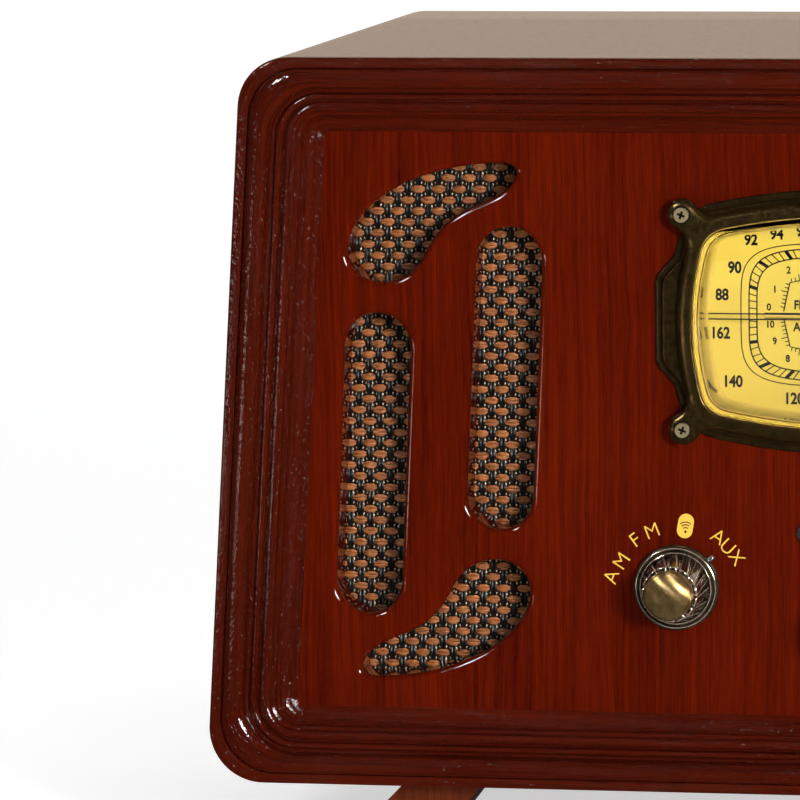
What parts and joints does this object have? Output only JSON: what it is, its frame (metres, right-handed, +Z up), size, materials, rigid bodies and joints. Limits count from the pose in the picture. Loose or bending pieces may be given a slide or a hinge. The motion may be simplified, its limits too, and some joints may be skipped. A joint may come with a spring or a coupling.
{
  "type": "tabletop radio",
  "caption": "Wooden tabletop radio with a moulded tapering front, round-cornered analogue dial in a bronze bezel, leaf-shaped speaker grilles, crown knobs and splayed legs.",
  "frame": {"origin": "on the table, under the middle of the radio's overall box", "axes": "+X to the right seen from the front, +Y to the back, +Z up; the dial and knobs face -Y"},
  "size_m": [0.4312, 0.2638, 0.272],
  "materials": {
    "cabinet_veneer": "high gloss lacquered cherry veneer",
    "panel_veneer": "high gloss lacquered figured veneer",
    "leg_wood": "satin lacquered hardwood",
    "rear_board": "black painted fibreboard",
    "grille_cloth": "coarse black and copper weave",
    "dark_steel": "black zinc",
    "magnet": "ferrite and zinc plated plates",
    "surround_rubber": "soft black rubber",
    "cone_paper": "pressed dark paper",
    "zinc_steel": "zinc plated",
    "bronze_dark": "dark antique bronze",
    "bronze": "brushed antique bronze",
    "bezel_screw_brass": "pale brass",
    "clear_lens": "clear acrylic",
    "pointer_acrylic": "clear acrylic with two painted edge lines",
    "scale_print": "warm lit scale with black print",
    "white_plastic": "moulded",
    "lamp": "diffused warm lamp",
    "cord_fibre": "twisted dial cord",
    "tuner_case": "moulded",
    "bush_brass": "turned",
    "knob_bronze": "dark bronze with bright edges",
    "knob_crown": "blackened bronze with bright edges",
    "knob_brass": "satin antique brass",
    "control_case": "moulded",
    "indicator_ring": "polished",
    "indicator_lens": "smoked clear plastic",
    "board": "green lacquered board",
    "heatsink": "extruded",
    "transformer": "varnished laminations",
    "black_plastic": "moulded",
    "rocker_red": "moulded"
  },
  "bodies": {
    "radio": {"cabinet_shell": "cabinet_veneer", "front_frame": "cabinet_veneer", "front_panel": "panel_veneer", "rear_panel": "rear_board", "rear_panel_screws": "dark_steel", "grille_cloth_left": "grille_cloth", "grille_cloth_right": "grille_cloth", "speaker_basket_left": "dark_steel", "speaker_basket_right": "dark_steel", "speaker_magnet_left": "magnet", "speaker_magnet_right": "magnet", "speaker_surround_left": "surround_rubber", "speaker_surround_right": "surround_rubber", "panel_screws": "zinc_steel", "dial_bezel_base": "bronze_dark", "dial_bezel": "bronze", "bezel_screws": "bezel_screw_brass", "dial_lens": "clear_lens", "dial_scale": "scale_print", "dial_light_box": "white_plastic", "dial_lamps": "lamp", "drive_cord": "cord_fibre", "tuner_bracket": "zinc_steel", "tuning_capacitor": "tuner_case", "tuning_bush": "bush_brass", "mode_switch": "control_case", "volume_control": "control_case", "bush_nuts": "zinc_steel", "indicator_rings": "indicator_ring", "indicator_lenses": "indicator_lens", "main_board": "board", "board_fixings": "bush_brass", "amplifier_heatsink": "heatsink", "mains_transformer": "transformer", "ferrite_antenna": "magnet", "rear_sockets": "black_plastic", "power_switch_frame": "black_plastic", "legs_left": "leg_wood", "legs_right": "leg_wood", "leg_screws": "zinc_steel", "foot_pads": "surround_rubber"},
    "tuning_knob": {"tuning_shaft": "zinc_steel", "drive_pulley": "white_plastic", "tuning_knob_base": "knob_bronze", "tuning_knob_skirt": "knob_crown", "tuning_knob_cap": "knob_brass"},
    "pointer": {"dial_pointer": "pointer_acrylic", "pointer_shaft": "zinc_steel", "dial_drum": "white_plastic"},
    "mode_knob": {"mode_shaft": "zinc_steel", "mode_knob_base": "knob_bronze", "mode_knob_skirt": "knob_crown", "mode_knob_cap": "knob_brass"},
    "volume_knob": {"volume_shaft": "zinc_steel", "volume_knob_base": "knob_bronze", "volume_knob_skirt": "knob_crown", "volume_knob_cap": "knob_brass"},
    "rocker": {"power_rocker": "rocker_red"},
    "cone_left": {"speaker_cone_left": "cone_paper"},
    "cone_right": {"speaker_cone_right": "cone_paper"}
  },
  "joints": [
    {"name": "tuning_turn", "type": "hinge", "parent": "radio", "child": "tuning_knob", "pos_m": [0, -0.1079, 0.0874], "axis": [0, 1, 0], "range_deg": [0, 909]},
    {"name": "pointer_sweep", "type": "hinge", "parent": "radio", "child": "pointer", "pos_m": [0, -0.1079, 0.18551], "axis": [0, 1, 0], "range_deg": [0, 180]},
    {"name": "mode_turn", "type": "hinge", "parent": "radio", "child": "mode_knob", "pos_m": [-0.0589, -0.1079, 0.0972], "axis": [0, 1, 0], "range_deg": [-126.9, 0]},
    {"name": "volume_turn", "type": "hinge", "parent": "radio", "child": "volume_knob", "pos_m": [0.0589, -0.1079, 0.0972], "axis": [0, 1, 0], "range_deg": [0, 270]},
    {"name": "power_rock", "type": "hinge", "parent": "radio", "child": "rocker", "pos_m": [0.118, 0.1261, 0.076], "axis": [1, 0, 0], "range_deg": [-16, 0]},
    {"name": "cone_left_travel", "type": "slide", "parent": "radio", "child": "cone_left", "axis": [0, 1, 0], "range_m": [-0.0015, 0.0015], "stiffness_N_per_m": 900},
    {"name": "cone_right_travel", "type": "slide", "parent": "radio", "child": "cone_right", "axis": [0, 1, 0], "range_m": [-0.0015, 0.0015], "stiffness_N_per_m": 900}
  ],
  "couplings": [
    {"joint": "pointer_sweep", "follows": "tuning_turn", "ratio": 0.19795}
  ]
}
